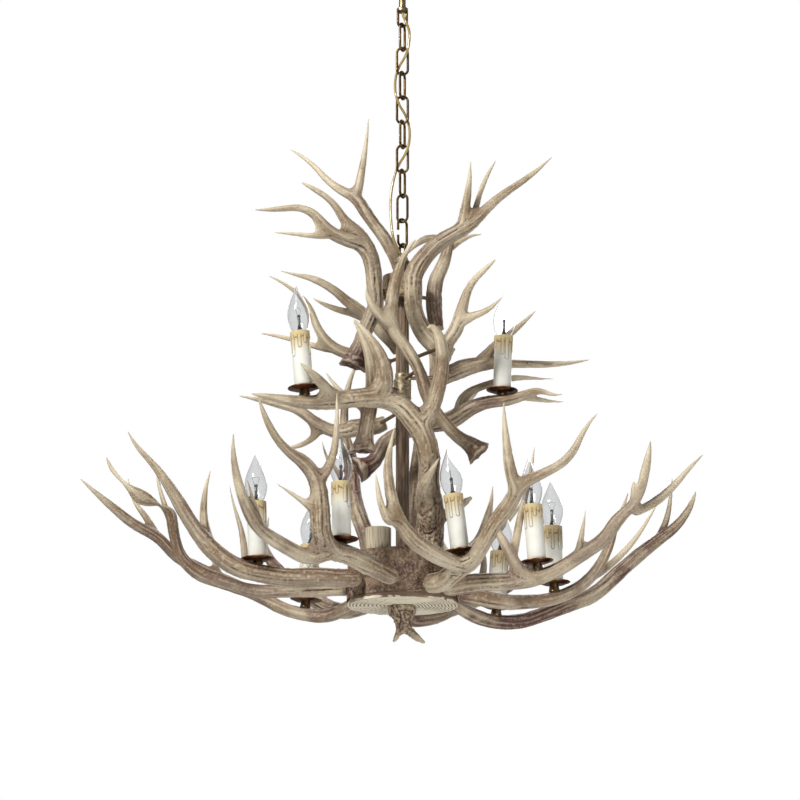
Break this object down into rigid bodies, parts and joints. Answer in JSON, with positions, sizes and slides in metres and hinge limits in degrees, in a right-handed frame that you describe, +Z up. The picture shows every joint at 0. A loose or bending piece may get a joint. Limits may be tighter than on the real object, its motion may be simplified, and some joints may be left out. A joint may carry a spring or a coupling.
{
  "type": "antler chandelier",
  "caption": "Hanging chandelier of interlaced antlers around a bark-covered stump, with candle lights on drip dishes, a chain and a ceiling cup.",
  "frame": {"origin": "centre of the ceiling bracket's two screw holes, in the plane of the ceiling", "axes": "+Z up to the ceiling, +X to the right and +Y to the back, as the picture looks at it"},
  "size_m": [1.014, 0.7506, 1.1429],
  "materials": {
    "antler_resin": "satin, grooved cast resin, cream-brown with dark bases and pale tips",
    "bronze_chain": "antique bronze, satin",
    "antique_brass": "antique brass, satin",
    "zinc_steel": "zinc-plated",
    "dark_column": "dark brown paint, satin",
    "bark_resin": "cast resin with mottled dark bark",
    "end_grain_resin": "cast resin painted as pale end grain",
    "white_plastic": "moulded",
    "ivory_candle": "ivory, glossy, with golden-brown drips at the rim",
    "dark_plastic": "moulded",
    "bulb_glass": "clear",
    "cable_sheath": "translucent gold sheath"
  },
  "bodies": {
    "ceiling": {"ceiling_bracket": "zinc_steel", "stem_locknut": "zinc_steel", "ceiling_canopy": "antique_brass", "ceiling_stem": "antique_brass", "stem_collar": "antique_brass", "ceiling_bow": "bronze_chain", "power_cable": "cable_sheath"},
    "link_1": {"chain_link_1": "bronze_chain"},
    "link_2": {"chain_link_2": "bronze_chain"},
    "link_3": {"chain_link_3": "bronze_chain"},
    "link_4": {"chain_link_4": "bronze_chain"},
    "link_5": {"chain_link_5": "bronze_chain"},
    "link_6": {"chain_link_6": "bronze_chain"},
    "link_7": {"chain_link_7": "bronze_chain"},
    "link_8": {"chain_link_8": "bronze_chain"},
    "link_9": {"chain_link_9": "bronze_chain"},
    "lamp": {"antler_screws": "bronze_chain", "back_crossing_antler": "antler_resin", "back_left_antler": "antler_resin", "back_right_antler": "antler_resin", "ball_hub": "antique_brass", "candle_bulbs": "bulb_glass", "candle_posts": "antique_brass", "candle_sleeves": "ivory_candle", "centre_tube": "zinc_steel", "column": "dark_column", "crown_fork_antler": "antler_resin", "crown_front_antler": "antler_resin", "crown_left_antler": "antler_resin", "crown_rear_antler": "antler_resin", "crown_right_antler": "antler_resin", "crown_top_antler": "antler_resin", "drip_dishes": "antique_brass", "drum_hub": "antique_brass", "finial_antler": "antler_resin", "front_left_antler": "antler_resin", "front_right_antler": "antler_resin", "lamp_bow": "bronze_chain", "lampholders": "dark_plastic", "left_antler": "antler_resin", "left_middle_antler": "antler_resin", "left_rear_antler": "antler_resin", "right_antler": "antler_resin", "right_middle_antler": "antler_resin", "right_rear_antler": "antler_resin", "standing_front_antler": "antler_resin", "standing_rear_antler": "antler_resin", "stump_end_disc": "end_grain_resin", "stump_nut": "zinc_steel", "stump_shell": "bark_resin", "terminal_block": "white_plastic", "timber_stub": "end_grain_resin", "top_cap": "antique_brass", "trunk_antler": "antler_resin", "upper_back_antler": "antler_resin", "upper_cross_antler": "antler_resin", "upper_left_antler": "antler_resin", "upper_left_back_antler": "antler_resin", "upper_left_rear_antler": "antler_resin", "upper_right_antler": "antler_resin"}
  },
  "joints": [
    {"name": "link_1_swing", "type": "hinge", "parent": "ceiling", "child": "link_1", "pos_m": [0, 0, -0.11375], "axis": [1, 0, 0], "range_deg": [-8, 8], "deforming": ["power_cable"]},
    {"name": "link_2_swing", "type": "hinge", "parent": "link_1", "child": "link_2", "pos_m": [0, 0, -0.1559], "axis": [0.4384, 0.8988, 0], "range_deg": [-8, 8]},
    {"name": "link_3_swing", "type": "hinge", "parent": "link_2", "child": "link_3", "pos_m": [0, 0, -0.1982], "axis": [1, 0, 0], "range_deg": [-8, 8]},
    {"name": "link_4_swing", "type": "hinge", "parent": "link_3", "child": "link_4", "pos_m": [0, 0, -0.2405], "axis": [0.4384, 0.8988, 0], "range_deg": [-8, 8]},
    {"name": "link_5_swing", "type": "hinge", "parent": "link_4", "child": "link_5", "pos_m": [0, 0, -0.2828], "axis": [0.9962, -0.0872, 0], "range_deg": [-8, 8]},
    {"name": "link_6_swing", "type": "hinge", "parent": "link_5", "child": "link_6", "pos_m": [0, 0, -0.3251], "axis": [0.4067, 0.9135, 0], "range_deg": [-8, 8]},
    {"name": "link_7_swing", "type": "hinge", "parent": "link_6", "child": "link_7", "pos_m": [0, 0, -0.3674], "axis": [0.9962, -0.0872, 0], "range_deg": [-8, 8]},
    {"name": "link_8_swing", "type": "hinge", "parent": "link_7", "child": "link_8", "pos_m": [0, 0, -0.4097], "axis": [0.4384, 0.8988, 0], "range_deg": [-8, 8]},
    {"name": "link_9_swing", "type": "hinge", "parent": "link_8", "child": "link_9", "pos_m": [0, 0, -0.452], "axis": [0.9135, -0.4067, 0], "range_deg": [-8, 8]},
    {"name": "lamp_swing", "type": "hinge", "parent": "link_9", "child": "lamp", "pos_m": [0, 0, -0.4943], "axis": [0.788, 0.6157, 0], "range_deg": [-6, 6]}
  ]
}
